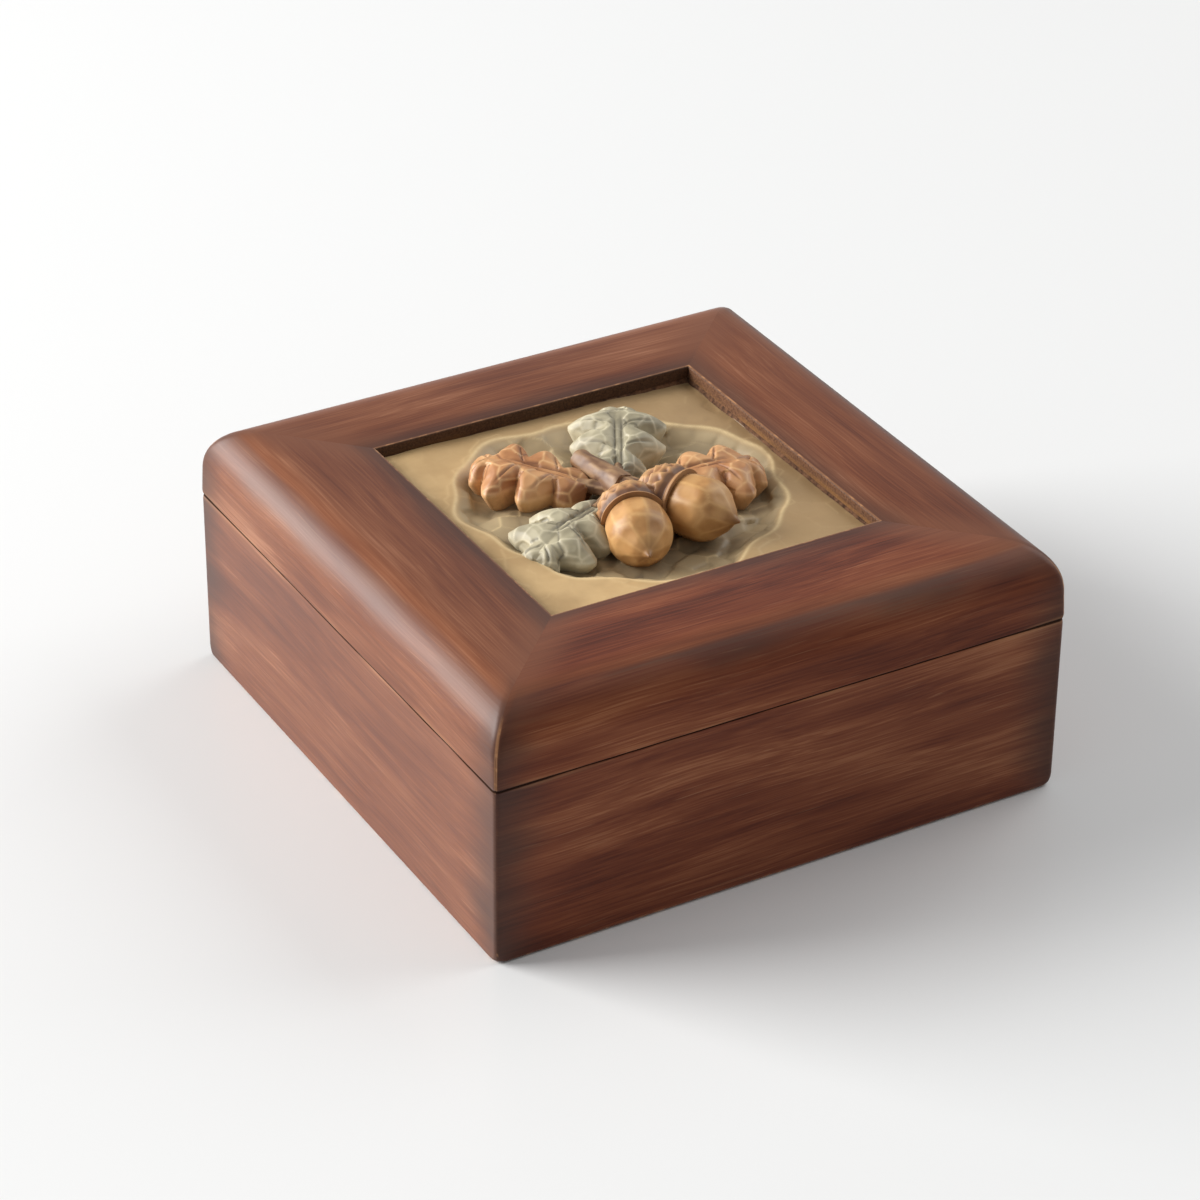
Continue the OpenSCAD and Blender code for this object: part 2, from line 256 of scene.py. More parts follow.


# %% [markdown]
# ## The brushed stain
# The boards wear a reddish-brown stain, drawn out along each board with a dry brush. Broad, middle and
# fine streaks are the same noise, stretched along the grain by different amounts. Over them lie a dusky
# grey-brown glaze round the window and at the corners, a darker band along the rounded edge that is
# painted shade, and rubbed edges that show paler wood. Each wall is painted a little darker towards its
# foot as shade, and the lid's top is painted a little darker as shade too. Everything is worked out from
# the place on the box, so a board only brings its grain, its stain, polish and the strength of the painted
# shade on its rounded edge, and a number that sets its streaks apart from those of the next board.
# The front boards are stained darker and redder, as painted shade for the side turned away from the light,
# and hands have rubbed their polish duller.

# %% Stained wood
bare_wood = paint(190, 138, 94)
brushed_wood = paint(176, 126, 92)
rub_and_highlight_wood = paint(148, 92, 60)
joint_wood = paint(116, 69, 46)
# The colour of the glaze round the window and at the corners, and of the painted shade on the rounded edge.
glaze_and_shade_colour = paint(66, 44, 36)
seam_shadow = paint(40, 22, 14)
window_shadow = paint(38, 19, 8)
spilt_ochre = paint(160, 116, 62)
raw_wood = [(0.34, paint(72, 45, 29)), (0.68, paint(126, 88, 62))]
# A darker, redder copy of the stain for the front boards: painted shade.
shaded_front_stain = [(0.37, paint(72, 27, 11)), (0.45, paint(96, 42, 21)), (0.52, paint(115, 57, 31)),
             (0.59, paint(131, 73, 44)), (0.66, paint(154, 97, 64))]
brown_stain = [(0.37, paint(88, 44, 26)), (0.45, paint(104, 55, 33)), (0.52, paint(118, 67, 41)),
               (0.59, paint(132, 81, 54)), (0.66, paint(154, 104, 76))]


def stained_wood(name, grain, seed, is_lid, stain, polish, edge_shade):
    wood = Finish(name, Specular_IOR_Level=0.04, Coat_Roughness=0.41, Sheen_Weight=0.09)
    x, y, z = wood.place()
    along, across = (x, y) if grain == "x" else (y, x)
    sway = (wood.noise(along * 16 + seed, across * 30, z * 30, 1.0) - 0.5) * (4 * MM)

    def streaks(lengthwise, crosswise, detail):
        return wood.noise(along * lengthwise + seed * 7, (across + sway) * crosswise,
                          (z + sway) * crosswise, detail, 0.6)

    broad = streaks(9, 60, 2.0)
    middle = streaks(28, 330, 2.0)
    fine = streaks(36, 2200, 3.0)
    patch = wood.noise(along * 26 + seed * 3, across * 105, z * 105, 1.0)
    from_seam = abs(z - seam_height)
    tone = broad * 0.4 + patch * 0.17 + middle * 0.2 + fine * 0.33 - 0.05
    # A little lighter near the seam, and painted darker towards the foot of each wall, as shade.
    tone = tone + from_seam.step(6 * MM, 1 * MM) * 0.018 - z.step(12 * MM, 1 * MM) * 0.03
    # The lid's top is painted a little darker, as shade.
    tone = tone - z.step(lid_top - 4 * MM, lid_top - 1 * MM) * 0.012
    colour = wood.ramp(tone, *stain)
    brushed = streaks(42, 1900, 2.0).step(0.6, 0.74) * broad.step(0.36, 0.6) * 0.3
    colour = wood.mix(brushed, colour, brushed_wood)

    far = abs(x).math("MAXIMUM", abs(y))
    near = abs(x).math("MINIMUM", abs(y))
    cloud = wood.noise(along * 28 + seed, across * 90, z * 90, 2.0)
    glaze_and_shade = (near + (cloud - 0.5) * (18 * MM)).step(58 * MM, 74 * MM) * 0.8
    gloss = polish
    if is_lid:
        joint = (far - near).step(15 * MM, 0.5 * MM) * (lid_top - z).step(9 * MM, 2 * MM)
        colour = wood.mix(joint * (fine * 0.5 + 0.45), colour, joint_wood)
        # The angle round the rounded edge in radians: 0 at the side, and a quarter turn at the top.
        turn = (z - (lid_top - edge_round)).math("ARCTAN2", far - (half_side - edge_round))
        turn = turn + (cloud - 0.5) * 0.4
        band = turn.step(0.15, 0.75) * turn.step(1.22, 1.06)
        drawn = cloud + (middle - 0.5) * 0.3 + (fine - 0.5) * 0.4
        # A darker band along the rounded edge is painted shade, strongest on the front boards.
        glaze_and_shade = glaze_and_shade.math("MAXIMUM", band * (drawn.step(0.38, 0.7) * edge_shade + 0.14))
        gloss = (band * (along * 4 + 0.7) + 0.72) * polish
        rim = (far + (cloud - 0.5) * (8 * MM)).step(window_half + 8 * MM, window_half)
        glaze_and_shade = glaze_and_shade.math("MAXIMUM", rim * 0.64)
        # A paler line where the top turns into the rounded edge: partly rubbed wood, partly painted
        # highlight.
        rub_and_highlight_line = turn.step(1.06, 1.2) * turn.step(1.6, 1.28)
        colour = wood.mix(rub_and_highlight_line * 0.2, colour, rub_and_highlight_wood)
    colour = wood.mix(glaze_and_shade, colour, glaze_and_shade_colour)

    worn = from_seam.step(1.4 * MM, 0.6 * MM) * middle.step(0.42, 0.6) * 0.25
    chips = wood.noise(x * 420, y * 420, z * 420, 3.0).step(0.5, 0.66)
    corner = (far - near).step(0.7 * MM, 0.2 * MM) * far.step(half_side - 5 * MM, half_side - 3 * MM)
    if is_lid:
        corner = corner * (lid_top - z).step(2 * MM, 6 * MM) * (chips * 0.45 + 0.4)
        arris = far.step(window_half + 0.8 * MM, window_half + 0.3 * MM)
        worn = worn.math("MAXIMUM", arris * (chips * 0.45 + 0.35))
    else:
        corner = corner * chips * z.step(6 * MM, 1 * MM) * 0.6
        foot = z.step(1.2 * MM, 0.5 * MM) * far.step(half_side - 1.5 * MM, half_side - 0.8 * MM)
        worn = worn.math("MAXIMUM", foot * (chips * 0.5 + 0.08))
    worn = worn.math("MAXIMUM", corner)
    colour = wood.mix(worn, colour, bare_wood)
    # A painted shadow line in the seam between lid and base, wider towards the corners.
    slack = near.step(50 * MM, 72 * MM) * (0.2 * MM)
    in_seam = (from_seam + (fine - 0.5) * (0.3 * MM) - slack).step(0.27 * MM, 0.12 * MM)
    in_seam = in_seam * far.step(half_side - 1.0 * MM, half_side - 0.6 * MM)
    colour = wood.mix(in_seam * 0.9, colour, seam_shadow)
    if is_lid:
        inside_window = far.step(window_half + 0.35 * MM, window_half + 0.1 * MM)
        raw = wood.ramp(wood.noise(x * 1900, y * 1900, z * 1900, 3.0, 0.7), *raw_wood)
        spilt = (z + (fine - 0.5) * (2 * MM)).step(panel_top + 1.6 * MM, panel_top + 0.4 * MM)
        raw = wood.mix(spilt * cloud.step(0.46, 0.6) * 0.4, raw, spilt_ochre)
        # The window's back wall is painted darker, as shade.
        raw = wood.mix(y.step(window_half - 1 * MM, window_half) * 0.6, raw, window_shadow)
        colour = wood.mix(inside_window, colour, raw)
    height = middle * 0.5 + fine * 0.5
    return wood.done(Base_Color=colour, Coat_Weight=(1 - in_seam) * gloss,
                     Roughness=(fine * 0.16 + glaze_and_shade * 0.08 + 0.38).math("MAXIMUM", in_seam),
                     Normal=wood.bump(height, 0.3, 0.2 * MM))


# %% [markdown]
# ## Boards with eased edges
# A board from a saw has edges that would cut a finger, so a maker takes the sharpness off. Each board is
# a copy of its CAD node. Its loose triangles are welded and its flat faces made whole, and a narrow
# bevel then eases what is still sharp: more at the window's upper edge, and a hair elsewhere.
# The mitred joints stay tight, but wear has rounded the crease where each comes out at a corner. Planes
# beside the mitre cut the board finely there first, so that the crease has points to bend at.

# %% Walls and rails
WELD = 0.002 * MM


def copy_of(node, name):
    """A welded copy of a CAD node's mesh, with whole flat faces."""
    piece = bpy.data.objects.new(name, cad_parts[node].data.copy())
    bpy.context.scene.collection.objects.link(piece)
    choose(piece)
    bpy.ops.mesh.customdata_custom_splitnormals_clear()
    open_mesh(piece)
    bpy.ops.mesh.select_all(action="SELECT")
    bpy.ops.mesh.remove_doubles(threshold=WELD)
    bpy.ops.mesh.dissolve_degenerate(threshold=WELD)
    bpy.ops.mesh.select_all(action="SELECT")
    bpy.ops.mesh.dissolve_limited(angle_limit=math.radians(0.5))
    close_mesh()
    return piece


def is_sharp(edge):
    return len(edge.link_faces) == 2 and edge.calc_face_angle() > math.radians(40)


def off_the_mitre(edge):
    """Passes sharp edges that don't lie in a mitred joint."""
    middle = (edge.verts[0].co + edge.verts[1].co) / 2
    return is_sharp(edge) and abs(abs(middle.x) - abs(middle.y)) > 5 * WELD


def on_window_edge(edge):
    return is_sharp(edge) and all(
        abs(max(abs(v.co.x), abs(v.co.y)) - window_half) < WELD and abs(v.co.z - lid_top) < WELD
        for v in edge.verts)


def ease(piece, test, width, segments):
    open_mesh(piece)
    select_edges(piece, test)
    bpy.ops.mesh.bevel(offset=width, segments=segments, affect="EDGES", clamp_overlap=True)
    close_mesh()


def near_level(z, level, reach):
    """1 at a level, easing to 0 at a distance of reach from it."""
    return np.clip(1 - np.abs(z - level) / reach, 0, 1) ** 2


def rail_crease(z):
    """The radius of a lid corner's crease: slight at the side, broad over the top, knocked at the seam."""
    over_top = np.clip((z - seam_height) / (9 * MM), 0, 1)
    return MM * (0.7 + 1.4 * over_top + 0.9 * near_level(z, seam_height, 1.3 * MM))


def wall_crease(z):
    """The radius of a base corner's crease: knocked at the seam, and well rounded at the foot."""
    return MM * (1.2 + 0.9 * near_level(z, seam_height, 1.3 * MM) + 2.2 * near_level(z, 0, 3.4 * MM))


def arc_inset(gap, radius):
    """How far a rounded corner lies inside a sharp one, for a point that is a gap away from its mitre."""
    turn = np.arccos(np.clip(gap / (radius * math.sqrt(2)), 0, math.sqrt(0.5))) - math.pi / 4
    return radius * (1 - np.cos(turn))


mitre_offsets = (0.15, 0.35, 0.6, 0.9, 1.2, 1.6, 2.0, 2.6, 3.4)


def round_creases(board, made, crease, levels, skin):
    """Rounds the creases at a board's two mitred ends from the radius that they were made with.
    Only its outer skin of that depth moves."""
    cuts = [((0, 0, level * MM), (0, 0, 1)) for level in levels]
    for across_mitre in ((1, 1, 0), (1, -1, 0)):
        for offset in mitre_offsets:
            cuts += [((side * offset * MM, 0, 0), across_mitre) for side in (-1, 1)]
    open_mesh(board)
    for place, direction in cuts:
        bpy.ops.mesh.select_all(action="SELECT")
        bpy.ops.mesh.bisect(plane_co=place, plane_no=direction)
    bpy.ops.mesh.select_all(action="SELECT")
    bpy.ops.mesh.remove_doubles(threshold=WELD)
    close_mesh()
    points = points_of(board)
    plan = np.abs(points[:, :2])
    gap = plan.max(axis=1) - plan.min(axis=1)
    in_skin = np.clip((plan.max(axis=1) - half_side + skin) / (skin / 2), 0, 1)
    inset = (arc_inset(gap, crease(points[:, 2])) - arc_inset(gap, made)) * in_skin
    points[:, :2] -= np.sign(points[:, :2]) * inset[:, None]
    move_points(board, points)


# Heights in millimetres where the creases change: just over and under the seam, and at the foot.
seam = round(seam_height / MM, 3)
rail_levels = [seam + rise for rise in (0.3, 0.7, 1.3)]
wall_levels = [0.4, 0.9, 1.5, 2.2, 3.2] + [seam - drop for drop in (1.3, 0.7, 0.3)]
hair = 0.08 * MM
window_ease = 0.45 * MM
wall_made, wall_skin, wall_seed = 0.8 * MM, 6 * MM, 3.7
rail_made, rail_skin, rail_seed = 0.001 * MM, 20 * MM, 11.3
# Each side's grain, stain, polish and the strength of the painted shade on its rounded edge.
sides = {"front": ("x", shaded_front_stain, 0.25, 0.6), "right": ("y", brown_stain, 0.22, 0.3),
         "back": ("x", brown_stain, 0.4, 0.3), "left": ("y", brown_stain, 0.46, 0.3)}
for number, (side, (grain, *look)) in enumerate(sides.items()):
    wall = copy_of(f"base_{side}_wall", f"{side}_wall")
    ease(wall, off_the_mitre, hair, 1)
    round_creases(wall, wall_made, wall_crease, wall_levels, wall_skin)
    smooth(wall, 35)
    wall_stain = stained_wood(f"{side} wall stain", grain, wall_seed + number, False, *look)
    hand_over(wall, "base", "stained_wood", wall_stain, f"base_{side}_wall")
    rail = copy_of(f"lid_{side}_rail", f"{side}_rail")
    ease(rail, on_window_edge, window_ease, 3)
    ease(rail, off_the_mitre, hair, 1)
    round_creases(rail, rail_made, rail_crease, rail_levels, rail_skin)
    smooth(rail, 35)
    rail_stain = stained_wood(f"{side} rail stain", grain, rail_seed + number, True, *look)
    hand_over(rail, "lid", "stained_wood", rail_stain, f"lid_{side}_rail")
    print(side, "wall", len(wall.data.polygons), "faces, rail", len(rail.data.polygons), "faces")

# %% [markdown]
# ## Knife cuts
# A carver leaves flat facets where the knife went, with a soft ridge between neighbours. To cut a smooth
# form that way, points are scattered over it as centres of cuts. Each vertex then moves along its normal
# on to the flat of its nearest cut, and near a border the two flats blend over a narrow ridge.
# The same sums tell where ridges and valleys run, which the paint uses later: rubbed pale on the
# ridges, dark wash in the valleys.

# %% Cutting facets


def scatter(points, spacing, stretch, rng):
    """Picks vertices about one spacing apart, the distance measured in stretched space."""
    order = rng.permutation(len(points))[:6000]
    chosen = [order[0]]
    where = points * stretch
    for index in order[1:]:
        if np.min(np.sum((where[chosen] - where[index]) ** 2, axis=1)) > spacing ** 2:
            chosen.append(index)
    return np.array(chosen)


def cut_facets(points, normals, centres, flats, softness, stretch, ridge_width, reach):
    """Flattens a form to its cuts. Returns the points, and how near each is to a ridge and a valley."""
    moved = points.copy()
    ridge = np.zeros(len(points))
    valley = np.zeros(len(points))
    for start in range(0, len(points), 4000):
        part = slice(start, start + 4000)
        here = points[part]
        gaps = np.sum(((here[:, None] - centres[None]) * stretch) ** 2, axis=2)
        nearest = np.argsort(gaps, axis=1)[:, :4]
        gap = np.take_along_axis(gaps, nearest, 1)
        share = np.exp(-(gap - gap[:, :1]) / softness ** 2)
        flat = flats[nearest]
        lean = np.maximum(np.einsum("ik,ijk->ij", normals[part], flat), 0.35)
        rise = np.einsum("ijk,ijk->ij", centres[nearest] - here[:, None], flat) / lean
        rise = np.clip((rise * share).sum(1) / share.sum(1), -reach, reach)
        moved[part] = here + normals[part] * rise[:, None]
        between = centres[nearest[:, 1]] - centres[nearest[:, 0]]
        apart = np.linalg.norm(between * stretch, axis=1)
        border = (gap[:, 1] - gap[:, 0]) / (2 * apart)
        bend = np.sum((flat[:, 1] - flat[:, 0]) * between, axis=1) / np.linalg.norm(between, axis=1)
        line = np.exp(-((border / ridge_width) ** 2))
        ridge[part] = line * np.clip(bend / 0.22, 0, 1)
        valley[part] = line * np.clip(-bend / 0.22, 0, 1)
    return moved, ridge, valley


def tilted(normals, amount, rng):
    """Normals leaned a little at random, as no two cuts lie alike."""
    leaned = normals + rng.normal(0, amount, normals.shape)
    return leaned / np.linalg.norm(leaned, axis=1)[:, None]


def carve(piece, spacing, tilt, seed, stretch=(1, 1, 1), reach=0.6 * MM, ridge_width=0.28 * MM):
    rng = np.random.default_rng(seed)
    points = points_of(piece)
    normals = normals_of(piece)
    stretch = np.array(stretch)
    chosen = scatter(points, spacing, stretch, rng)
    flats = tilted(normals[chosen], tilt, rng)
    soft = 0.4 * spacing
    moved, ridge, valley = cut_facets(points, normals, points[chosen], flats, soft, stretch,
                                      ridge_width, reach)
    move_points(piece, moved)
    return ridge, valley


def ripple(x, y, wavelength, seed):
    """Smooth unevenness between about -1 and 1."""
    rng = np.random.default_rng(seed)
    total = np.zeros_like(x)
    for turn in rng.uniform(0, 2 * math.pi, 7):
        pace = 2 * math.pi / (wavelength * rng.uniform(0.7, 1.5))
        total += np.sin(pace * (x * math.cos(turn) + y * math.sin(turn)) + rng.uniform(0, 6.3))
    return total / 3.5


# %% [markdown]
# ## Oak leaves
# A leaf starts as a flat grid. Its long side becomes the midrib and its short side the blade's width,
# which swells into round lobes with narrow clefts. The blade rises in two domes beside a sunk midrib,
# with a groove along the middle of each lobe. Facets are cut next. The rim is then extruded down, twice:
# once for the blade's thick edge, and once inwards, so that the leaf stands clear of the ground in shade.

# %% The spray's layout, as in the CAD panel
leaf_length = 30 * MM
leaf_half_width = 12 * MM
leaf_lobes = 3
leaf_cleft = 0.58
leaf_ends = (0.06, 0.995)
leaf_turns = [133, 61, -9, 208]
leaf_lifts = [1.5 * MM, 1.9 * MM, 1.7 * MM, 1.4 * MM]
leaf_tips = [1.4 * MM, 2.4 * MM, 0.6 * MM, -0.3 * MM]
leaf_start = 5.2 * MM
acorn_turns = [-108, -64]
acorn_lifts = [3.4 * MM, 4.6 * MM]
acorn_start = 6.6 * MM
acorn_length = 26 * MM
acorn_radius = 8 * MM
twig_turn = 98
twig_length = 15 * MM
knot_height = 3.4 * MM
spray = Vector((-1.5 * MM, -0.5 * MM, panel_top))
carve_root = -4.8 * MM


def set_down(piece, turn, offset=(0, 0, 0)):
    """Moves a form made along +X at the origin to its place in the spray."""
    turned = Matrix.Rotation(math.radians(turn), 4, "Z")
    piece.data.transform(Matrix.Translation(spray) @ turned @ Matrix.Translation(offset))
    piece.data.update()


def leaf_half(t):
    lobe = ((np.sin(math.pi * (leaf_lobes + 0.5) * t) ** 2 + 0.02) / 1.02) ** 0.45
    return leaf_half_width * np.sin(math.pi * t ** 1.35) ** 0.5 * (1 - leaf_cleft + leaf_cleft * lobe)


def leaf_surface(t, s, number):
    """Points of a leaf's smooth upper face along +X: t runs from stalk to tip, and s from edge to edge."""
    side = np.abs(s)
    width = leaf_half(t)
    lobe = np.abs(np.sin(math.pi * (leaf_lobes + 0.5) * t))
    x = t * leaf_length + 0.15 * side * width
    y = s * width
    z = leaf_lifts[number] + leaf_tips[number] * t + MM * 2.6 * np.sin(np.radians(150 * t))
    z = z + MM * (1.1 * np.sin(math.pi * side) * (1 - t ** 6) - 3.3 * side ** 2.5)
    z = z - MM * 1.6 * np.clip((t - 0.82) / 0.18, 0, 1) ** 2
    z = z + MM * 0.9 * (lobe - 0.55) * side * (1.4 - side)
    return np.stack([x, y, z + MM * 0.3 * ripple(x, y, 12 * MM, 40 + number)], axis=1)


def leaf_veins(t, s):
    """How deep the veins are cut, from 0 to 1: two lines beside the midrib, and one along each lobe."""
    side = np.abs(s)
    from_midrib = side * leaf_half(t)
    phase = ((leaf_lobes + 0.5) * t + 0.45 * (1 - side)) % 1
    between_ends = np.clip(9 * side - 0.6, 0, 1) * np.clip(4 - 5 * side, 0, 1)
    lobe_vein = np.exp(-(((phase - 0.5) / 0.045) ** 2)) * between_ends
    beside = np.exp(-(((from_midrib - 0.85 * MM) / (0.38 * MM)) ** 2)) * np.clip(4.6 - 6 * t, 0, 1)
    return np.maximum(lobe_vein * 0.8, beside)


def oak_leaf(number):
    bpy.ops.object.select_all(action="DESELECT")
    bpy.ops.mesh.primitive_grid_add(x_subdivisions=150, y_subdivisions=84, size=2)
    leaf = bpy.context.object
    leaf.name = f"oak_leaf_{number + 1}"
    grid = points_of(leaf)
    t = leaf_ends[0] + (leaf_ends[1] - leaf_ends[0]) * (grid[:, 0] + 1) / 2
    s = grid[:, 1]
    move_points(leaf, leaf_surface(t, s, number))
    ridge, valley = carve(leaf, 3.6 * MM, 0.05, 50 + number, reach=0.17 * MM)
    veins = leaf_veins(t, s)
    points = points_of(leaf)
    points[:, 2] -= 0.5 * MM * veins
    move_points(leaf, points)
    store(leaf, "ridge", np.maximum(ridge, np.clip((np.abs(s) - 0.93) / 0.06, 0, 1) * 0.9))
    store(leaf, "valley", np.maximum(valley, veins))
    store(leaf, "foot", np.clip(1 - t / 0.3, 0, 1))
    blade = len(points)
    open_mesh(leaf)
    select_rim()
    bpy.ops.mesh.extrude_edges_move(TRANSFORM_OT_translate={"value": (0, 0, -0.9 * MM)})
    bpy.ops.mesh.extrude_edges_move(TRANSFORM_OT_translate={"value": (0, 0, -1.0 * MM)})
    bpy.ops.mesh.edge_face_add()
    close_mesh()
    points = points_of(leaf)
    rim = (len(points) - blade) // 2
    points[-rim:, 2] = carve_root
    points[-rim:, 1] *= 0.7
    points[-rim:, 0] = leaf_length / 2 + (points[-rim:, 0] - leaf_length / 2) * 0.84
    move_points(leaf, points)
    # The inward ring under the blade's edge gets the full dark valley colour, as painted shade under the
    # leaf.
    root_shade = leaf.data.attributes["valley"].data
    for index in range(len(points) - rim, len(points)):
        root_shade[index].value = 1.0
    open_mesh(leaf)
    bpy.ops.mesh.select_all(action="SELECT")
    bpy.ops.mesh.normals_make_consistent(inside=False)
    close_mesh()
    set_down(leaf, leaf_turns[number], (leaf_start, 0, 0))
    smooth(leaf, 50)
    return leaf


leaves = [oak_leaf(number) for number in range(len(leaf_turns))]
print("leaves", [len(leaf.data.polygons) for leaf in leaves])

# %% [markdown]
# ## Acorns
# A sphere's rings are easy to reshape: its height becomes the place along the acorn, and each ring gets
# its own radius. The cuts stand in staggered rows: broad flats on the nut, and on the cup small ones that
# lean outwards like the scales of a real one.

# %% Nuts and cups


def turned_form(name, along, radius, rings=64, segments=72):
    """A round form along +X. along and radius give place and radius for q from -1 to 1."""
    bpy.ops.object.select_all(action="DESELECT")
    bpy.ops.mesh.primitive_uv_sphere_add(segments=segments, ring_count=rings, radius=1)
    form = bpy.context.object
    form.name = name
    ball = points_of(form)
    q = np.clip(ball[:, 2], -1, 1)
    spread = np.maximum(np.hypot(ball[:, 0], ball[:, 1]), 1e-9)
    points = np.stack([along(q), radius(q) * ball[:, 1] / spread, -radius(q) * ball[:, 0] / spread], axis=1)
    poles = np.abs(q) > 1 - 1e-7
    points[poles, 1:] = 0
    move_points(form, points)
    open_mesh(form)
    bpy.ops.mesh.select_all(action="SELECT")
    bpy.ops.mesh.normals_make_consistent(inside=False)
    close_mesh()
    return form


cup_depth = 0.4 * acorn_length


def nut_along(q):
    point = np.clip((q - 0.93) / 0.07, 0, 1)
    return acorn_start + 0.62 * acorn_length + q * 0.34 * acorn_length + 1.1 * MM * point ** 2


def nut_radius(q):
    back = (1 - np.abs(np.minimum(q, 0)) ** 3) ** 0.5
    front = (1 - np.maximum(q, 0) ** 2) ** 0.9
    return 0.9 * acorn_radius * np.minimum(back, front)


def cup_along(q):
    inward = 0.5 * MM * np.clip((q - 0.85) / 0.15, 0, 1)
    return acorn_start + cup_depth * np.clip((q + 1) / 1.75, 0, 1) - inward


def cup_radius(q):
    bowl = np.clip(1 - np.clip((0.55 - q) / 1.55, 0, 1) ** 2.6, 0, 1) ** 0.5
    lip = np.clip((1 - q) / 0.22, 0, 1) ** 0.6
    return acorn_radius * 0.97 * bowl * lip


def cut_rows(form, along, radius, rows, lean, soft, reach, length, rng):
    """Cuts a round form in rows of facets. rows gives a place q and a count for each, staggered in turn.
    A length over 1 draws the facets out along the form."""
    points = points_of(form)
    normals = normals_of(form)
    centres = []
    for row, (q, count) in enumerate(rows):
        for column in range(count):
            place = np.array([q + rng.uniform(-0.06, 0.06)])
            turn = 2 * math.pi * (column + 0.5 * (row % 2) + rng.uniform(-0.14, 0.14)) / count
            r = float(radius(place)[0])
            centres.append((float(along(place)[0]), r * math.cos(turn), r * math.sin(turn)))
    nearest = [np.argmin(np.sum((points - centre) ** 2, axis=1)) for centre in np.array(centres)]
    flats = normals[nearest] + np.array([lean, 0, 0])
    flats = flats / np.linalg.norm(flats, axis=1)[:, None]
    stretch = np.array([1 / length, 1, 1])
    moved, ridge, valley = cut_facets(points, normals, points[nearest], flats, soft, stretch,
                                      0.3 * MM, reach)
    return points, normals, moved, ridge, valley


def nut(number):
    form = turned_form(f"acorn_nut_{number + 1}", nut_along, nut_radius)
    rng = np.random.default_rng(70 + number)
    rows = [(-0.1, 11), (0.6, 9)]
    points, _, moved, ridge, valley = cut_rows(form, nut_along, nut_radius, rows, lean=0, soft=1.6 * MM,
                                               reach=0.3 * MM, length=2.2, rng=rng)
    move_points(form, moved)
    tip = np.clip((points[:, 0] - acorn_start - 0.86 * acorn_length) / (0.12 * acorn_length), 0, 1)
    store(form, "ridge", ridge * 0.7 * (1 - tip))
    store(form, "valley", np.maximum(valley, tip))
    store(form, "foot", np.clip(1 - (points[:, 0] - acorn_start - cup_depth) / (3.2 * MM), 0, 1))
    set_down(form, acorn_turns[number], (0, 0, acorn_lifts[number]))
    smooth(form, 60)
    return form


def cup(number):
    form = turned_form(f"acorn_cup_{number + 1}", cup_along, cup_radius, 90, 120)
    rng = np.random.default_rng(80 + number)
    rows = [(-0.93, 10), (-0.7, 12), (-0.45, 14), (-0.2, 16), (0.05, 18), (0.28, 18)]
    points, normals, moved, _, _ = cut_rows(form, cup_along, cup_radius, rows, lean=0.5, soft=0.8 * MM,
                                            reach=0.7 * MM, length=1, rng=rng)
    on_bowl = np.clip((acorn_start + cup_depth - 0.4 * MM - points[:, 0]) / (0.8 * MM), 0, 1)
    moved = points + (moved - points) * on_bowl[:, None]
    move_points(form, moved)
    rise = np.sum((moved - points) * normals, axis=1)
    store(form, "ridge", np.clip(rise / (0.3 * MM), 0, 1) * on_bowl + (1 - on_bowl) * 0.5)
    store(form, "valley", np.clip(-rise / (0.25 * MM), 0, 1) * on_bowl)
    store(form, "foot", np.clip(1 - (points[:, 0] - acorn_start) / (4 * MM), 0, 1))
    set_down(form, acorn_turns[number], (0, 0, acorn_lifts[number]))
    smooth(form, 50)
    return form


nuts = [nut(number) for number in range(len(acorn_turns))]
cups = [cup(number) for number in range(len(acorn_turns))]
print("acorns", len(nuts[0].data.polygons), len(cups[0].data.polygons))

# %% [markdown]
# ## Twig and stalks
# The spray hangs from the stub of a twig, with a thin stalk to each leaf and acorn. They are round forms
# that taper, cut in long strokes. The twig ends in a flat saw cut.

# %% Twig


def stalk(name, start, end, start_radius, end_radius, seed):
    def along(q):
        return start + (end - start) * np.clip(0.5 + 0.62 * q, 0, 1)

    def radius(q):
        taper = start_radius + (end_radius - start_radius) * (q + 1) / 2
        return taper * np.clip((1 - np.abs(q)) / 0.12, 0, 1) ** 0.5

    form = turned_form(name, along, radius, 40, 28)
    ridge, valley = carve(form, 1.6 * MM, 0.06, seed, stretch=(0.3, 1, 1), reach=0.2 * MM)
    store(form, "ridge", ridge)
    store(form, "valley", valley)
    store(form, "foot", np.zeros(len(ridge)))
    return form


def twig():
    stem = stalk("oak_twig", -1.5 * MM, twig_length, 3.5 * MM, 2.3 * MM, 90)
    set_down(stem, twig_turn, (0, 0, knot_height))
    parts = [stem]
    for number, turn in enumerate(leaf_turns):
        part = stalk("leaf_stalk", 1.0 * MM, leaf_start + 5 * MM, 1.9 * MM, 1.2 * MM, 91 + number)
        set_down(part, turn, (0, 0, leaf_lifts[number] + 0.3 * MM))
        parts.append(part)
    for number, turn in enumerate(acorn_turns):
        part = stalk("acorn_stalk", 1.0 * MM, acorn_start + 1.5 * MM, 1.9 * MM, 1.7 * MM, 96 + number)
        set_down(part, turn, (0, 0, acorn_lifts[number]))
        parts.append(part)
    choose(stem)
    for part in parts:
        part.select_set(True)
    bpy.ops.object.join()
    smooth(stem, 50)
    return stem


oak_twig = twig()
print("twig", len(oak_twig.data.polygons), "faces")

# %% [markdown]
# ## The carved ground
# The panel round the spray is nearly flat, and dips into a hollow with a wavering, scalloped edge. It is
# a fine grid lifted by sums: brim, sloping side, uneven floor, and a deeper moat beside the motif. The
# whole ground leans a little, falling to the right and the rear, but its rim under the rails is level.
# Facets follow, and the sides go down to the backing board. Distance to the motif is kept for the paint.

# %% Ground
hollow_depth = 2.4 * MM
hollow_slope = 4.5 * MM


